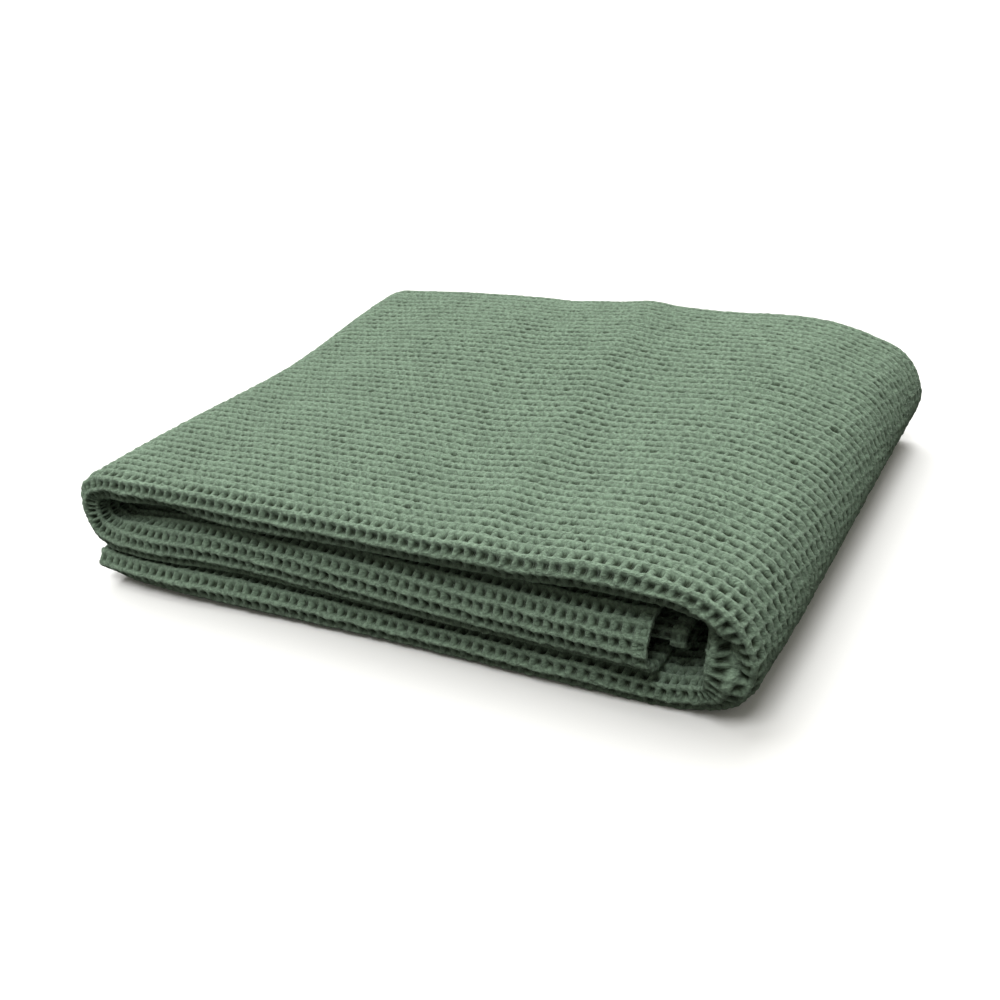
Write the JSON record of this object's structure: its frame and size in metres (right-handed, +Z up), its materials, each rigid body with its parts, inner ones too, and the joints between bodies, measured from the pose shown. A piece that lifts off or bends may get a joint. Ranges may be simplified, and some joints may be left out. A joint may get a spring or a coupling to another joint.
{
  "type": "folded waffle weave blanket",
  "caption": "Waffle weave cotton blanket, folded in half twice and then in three, lying flat as a soft stack with rounded front folds.",
  "frame": {"origin": "under the middle of the folded blanket, on the surface that it rests on", "axes": "+X to the right along the front folds, +Y from the front folds to the back edges, +Z up through the layers"},
  "size_m": [0.425, 0.3264, 0.0807],
  "materials": {
    "cotton": "matte sage green waffle weave cotton"
  },
  "bodies": {
    "root": {"blanket": "cotton"}
  },
  "joints": []
}
